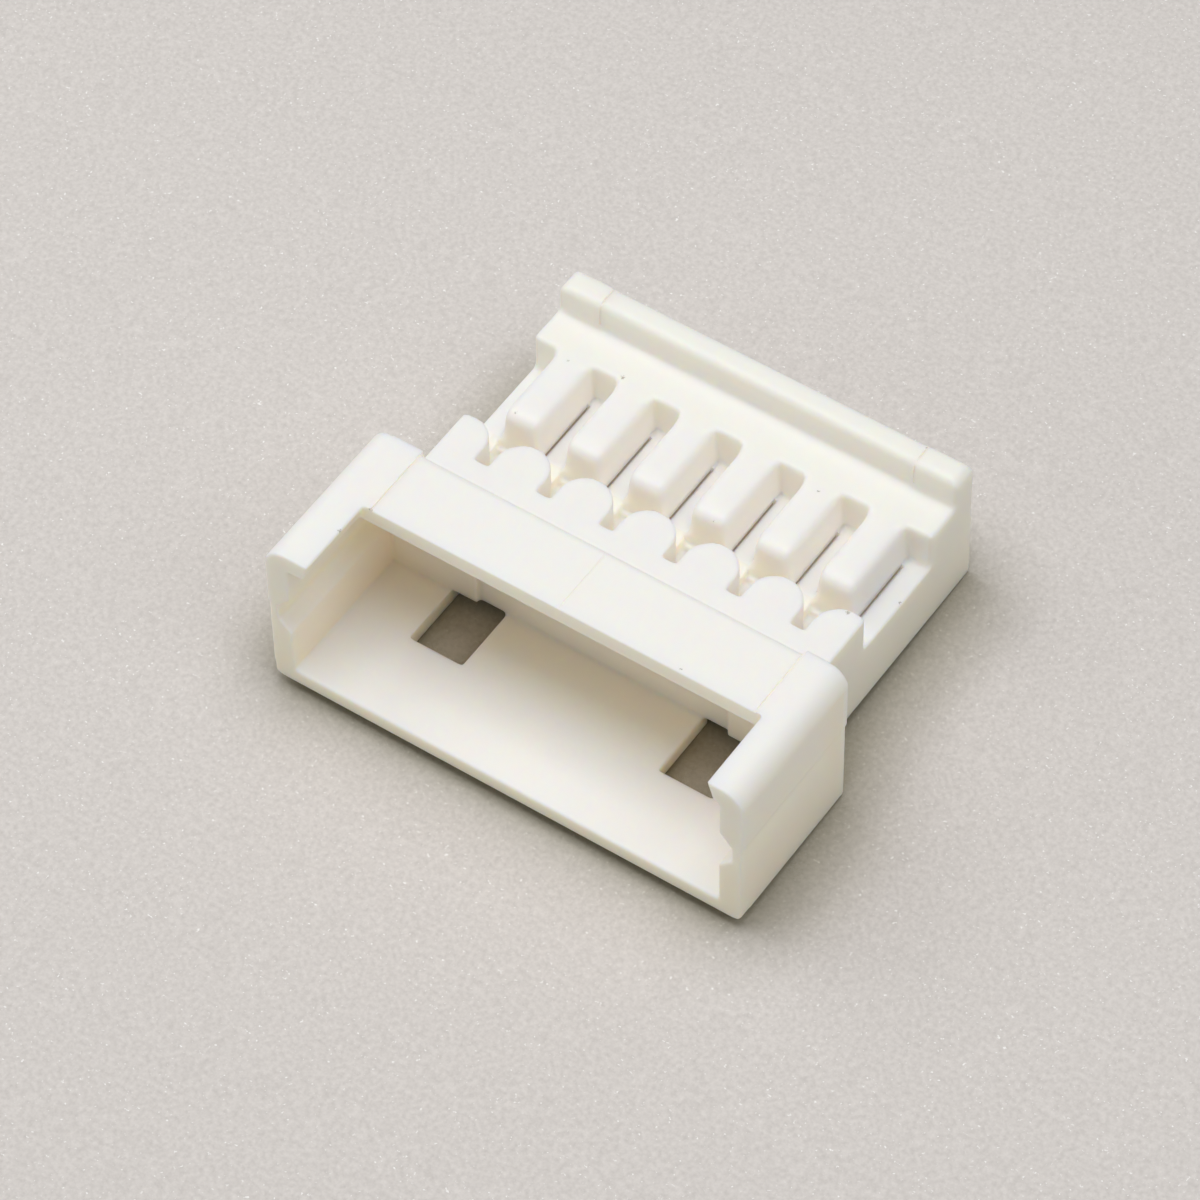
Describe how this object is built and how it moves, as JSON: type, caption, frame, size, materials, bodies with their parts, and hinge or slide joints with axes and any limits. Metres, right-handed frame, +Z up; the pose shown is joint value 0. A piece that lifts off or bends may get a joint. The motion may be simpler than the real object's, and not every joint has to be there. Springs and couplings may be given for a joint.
{
  "type": "connector receptacle housing",
  "caption": "Small moulded receptacle housing for a wire-to-wire connector: open shroud with keying grooves and latch windows, and a row of terminal cavities with sprung lances.",
  "frame": {"origin": "middle of the bounding box, on the plane of the shroud's underside", "axes": "+X along the row of circuits, +Y from the mating mouth to the wire end, +Z up"},
  "size_m": [0.0094, 0.008, 0.0033],
  "materials": {
    "nylon": "satin, slightly translucent ivory moulding"
  },
  "bodies": {
    "root": {"housing": "nylon"}
  },
  "joints": []
}
